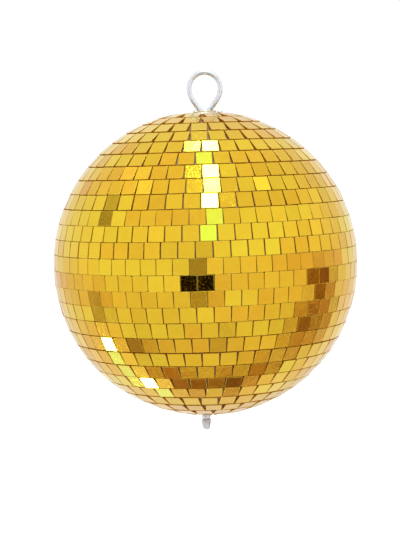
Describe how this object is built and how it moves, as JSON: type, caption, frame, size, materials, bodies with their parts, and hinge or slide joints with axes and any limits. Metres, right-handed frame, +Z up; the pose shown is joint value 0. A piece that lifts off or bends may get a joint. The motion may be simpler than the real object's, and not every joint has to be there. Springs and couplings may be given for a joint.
{
  "type": "mirror ball",
  "caption": "Hanging mirror ball: a hollow core faced with rows of square gold mirror tiles, on a spindle with a wire hanging ring that swings in an eye.",
  "frame": {"origin": "the hang point: the inside of the top of the hanging ring, where a hook bears, straight above the ball's centre", "axes": "+Z up along the spindle; the hanging ring lies in the XZ plane and its opening is looked through along Y; the front is -Y; the ring swings about an axis along X"},
  "size_m": [0.2004, 0.2005, 0.2381],
  "materials": {
    "gold_mirror": "gold-coloured silvered glass, flat polished faces with thin bright edges",
    "core_plastic": "brown plastic core with dried brown adhesive in the joints",
    "ring_wire": "bright zinc plated steel wire",
    "cap_steel": "pressed steel with a pale gold lacquer",
    "screw_steel": "plated pan head screws",
    "nut_steel": "plated, satin",
    "spindle_steel": "zinc plated steel, satin"
  },
  "bodies": {
    "ring": {"hang_ring": "ring_wire"},
    "ball": {"eye_nut": "spindle_steel", "top_cap": "cap_steel", "cap_screw_1": "screw_steel", "cap_screw_2": "screw_steel", "cap_screw_3": "screw_steel", "spindle_rod": "spindle_steel", "upper_lock_nut": "spindle_steel", "lower_inner_washer": "spindle_steel", "lower_lock_nut": "spindle_steel", "core_shell_upper": "core_plastic", "core_shell_lower": "core_plastic", "core_joint_band": "core_plastic", "bottom_cap": "cap_steel", "bottom_washer": "spindle_steel", "collar_nut": "nut_steel", "dome_nut": "nut_steel", "tile_row_u01": "gold_mirror", "tile_row_u02": "gold_mirror", "tile_row_u03": "gold_mirror", "tile_row_u04": "gold_mirror", "tile_row_u05": "gold_mirror", "tile_row_u06": "gold_mirror", "tile_row_u07": "gold_mirror", "tile_row_u08": "gold_mirror", "tile_row_u09": "gold_mirror", "tile_row_u10": "gold_mirror", "tile_row_u11": "gold_mirror", "tile_row_u12": "gold_mirror", "tile_row_u13": "gold_mirror", "tile_row_l01": "gold_mirror", "tile_row_l02": "gold_mirror", "tile_row_l03": "gold_mirror", "tile_row_l04": "gold_mirror", "tile_row_l05": "gold_mirror", "tile_row_l06": "gold_mirror", "tile_row_l07": "gold_mirror", "tile_row_l08": "gold_mirror", "tile_row_l09": "gold_mirror", "tile_row_l10": "gold_mirror", "tile_row_l11": "gold_mirror", "tile_row_l12": "gold_mirror", "tile_row_l13": "gold_mirror"}
  },
  "joints": [
    {"name": "ring_swing", "type": "hinge", "parent": "ring", "child": "ball", "pos_m": [0, 0, -0.02574], "axis": [1, 0, 0], "range_deg": [-40, 40]}
  ]
}
